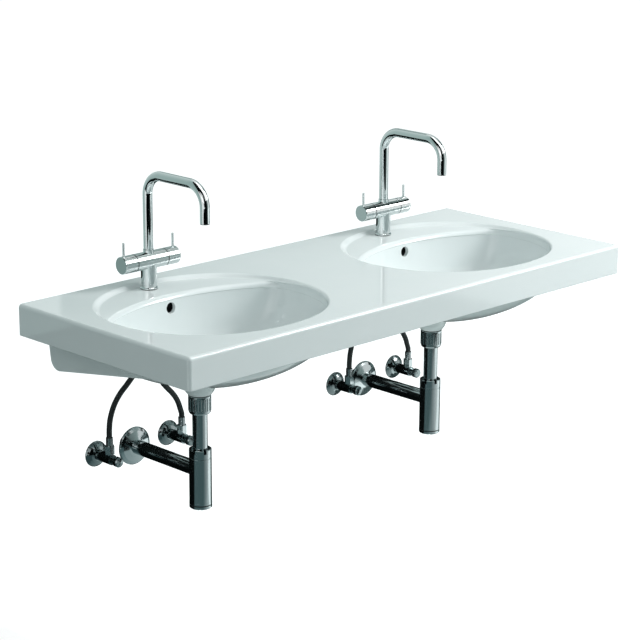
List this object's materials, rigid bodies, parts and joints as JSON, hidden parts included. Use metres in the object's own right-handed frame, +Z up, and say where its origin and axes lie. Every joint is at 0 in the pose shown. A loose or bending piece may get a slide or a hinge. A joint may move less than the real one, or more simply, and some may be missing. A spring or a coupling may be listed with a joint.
{
  "type": "double washbasin",
  "caption": "Wide wall-hung ceramic washbasin with oval bowls side by side, cross-handle taps with swivel spouts, push-open wastes, bottle traps, angle valves and supply hoses.",
  "frame": {"origin": "middle of the wall face, at the level of the wall fixing holes, 110 mm below the rim", "axes": "+Z up; +Y out of the back, into the wall; +X along the wall, to the right as seen from the front; the front edge is at -Y"},
  "size_m": [1.3, 0.555, 0.7042],
  "materials": {
    "glaze": "glossy white sanitary glaze",
    "tap_chrome": "polished bright chrome",
    "trap_chrome": "polished chrome plumbing",
    "aerator_plastic": "matt grey plastic",
    "hose_cover": "dark braided cover",
    "seal_rubber": "matt black rubber",
    "brass": "machined brass",
    "steel": "plain steel"
  },
  "bodies": {
    "fixed": {"basin": "glaze", "tap_gaskets": "seal_rubber", "tap_body_left": "tap_chrome", "tap_body_right": "tap_chrome", "cartridges": "brass", "tap_studs": "steel", "clamp_pads": "seal_rubber", "clamp_plates": "steel", "clamp_nuts": "brass", "hose_tails": "brass", "hose_sleeves": "steel", "hose_left_hot": "hose_cover", "hose_left_cold": "hose_cover", "hose_right_hot": "hose_cover", "hose_right_cold": "hose_cover", "hose_nuts": "trap_chrome", "valve_bodies": "trap_chrome", "valve_rosettes": "trap_chrome", "valve_glands": "trap_chrome", "waste_bodies": "trap_chrome", "flange_seals": "seal_rubber", "boss_seals": "seal_rubber", "waste_nuts": "trap_chrome", "tail_seals": "seal_rubber", "tail_pipes": "trap_chrome", "trap_collars": "trap_chrome", "trap_seals": "seal_rubber", "trap_bodies": "trap_chrome", "trap_caps": "trap_chrome", "outlet_pipes": "trap_chrome", "trap_rosettes": "trap_chrome"},
    "spout_left_body": {"spout_left": "tap_chrome", "aerator_left": "aerator_plastic"},
    "knob_left_hot_body": {"knob_left_hot": "tap_chrome", "lever_left_hot": "tap_chrome"},
    "knob_left_cold_body": {"knob_left_cold": "tap_chrome", "lever_left_cold": "tap_chrome"},
    "handle_left_hot_body": {"handle_left_hot": "trap_chrome"},
    "handle_left_cold_body": {"handle_left_cold": "trap_chrome"},
    "plug_left_body": {"plug_left": "tap_chrome"},
    "spout_right_body": {"spout_right": "tap_chrome", "aerator_right": "aerator_plastic"},
    "knob_right_hot_body": {"knob_right_hot": "tap_chrome", "lever_right_hot": "tap_chrome"},
    "knob_right_cold_body": {"knob_right_cold": "tap_chrome", "lever_right_cold": "tap_chrome"},
    "handle_right_hot_body": {"handle_right_hot": "trap_chrome"},
    "handle_right_cold_body": {"handle_right_cold": "trap_chrome"},
    "plug_right_body": {"plug_right": "tap_chrome"}
  },
  "joints": [
    {"name": "spout_left_swivel", "type": "hinge", "parent": "fixed", "child": "spout_left_body", "pos_m": [-0.356, -0.06, 0.1863], "axis": [0, 0, 1], "range_deg": [-75, 75]},
    {"name": "knob_left_hot_turn", "type": "hinge", "parent": "fixed", "child": "knob_left_hot_body", "pos_m": [-0.406, -0.06, 0.1625], "axis": [1, 0, 0], "range_deg": [0, 90]},
    {"name": "knob_left_cold_turn", "type": "hinge", "parent": "fixed", "child": "knob_left_cold_body", "pos_m": [-0.306, -0.06, 0.1625], "axis": [1, 0, 0], "range_deg": [0, 90]},
    {"name": "handle_left_hot_turn", "type": "hinge", "parent": "fixed", "child": "handle_left_hot_body", "pos_m": [-0.462, -0.07, -0.257], "axis": [0, -1, 0], "range_deg": [0, 1080]},
    {"name": "handle_left_cold_turn", "type": "hinge", "parent": "fixed", "child": "handle_left_cold_body", "pos_m": [-0.26, -0.07, -0.257], "axis": [0, -1, 0], "range_deg": [0, 1080]},
    {"name": "plug_left_lift", "type": "slide", "parent": "fixed", "child": "plug_left_body", "axis": [0, 0, 1], "range_m": [0, 0.008]},
    {"name": "spout_right_swivel", "type": "hinge", "parent": "fixed", "child": "spout_right_body", "pos_m": [0.356, -0.06, 0.1863], "axis": [0, 0, 1], "range_deg": [-75, 75]},
    {"name": "knob_right_hot_turn", "type": "hinge", "parent": "fixed", "child": "knob_right_hot_body", "pos_m": [0.306, -0.06, 0.1625], "axis": [1, 0, 0], "range_deg": [0, 90]},
    {"name": "knob_right_cold_turn", "type": "hinge", "parent": "fixed", "child": "knob_right_cold_body", "pos_m": [0.406, -0.06, 0.1625], "axis": [1, 0, 0], "range_deg": [0, 90]},
    {"name": "handle_right_hot_turn", "type": "hinge", "parent": "fixed", "child": "handle_right_hot_body", "pos_m": [0.26, -0.07, -0.257], "axis": [0, -1, 0], "range_deg": [0, 1080]},
    {"name": "handle_right_cold_turn", "type": "hinge", "parent": "fixed", "child": "handle_right_cold_body", "pos_m": [0.462, -0.07, -0.257], "axis": [0, -1, 0], "range_deg": [0, 1080]},
    {"name": "plug_right_lift", "type": "slide", "parent": "fixed", "child": "plug_right_body", "axis": [0, 0, 1], "range_m": [0, 0.008]}
  ]
}
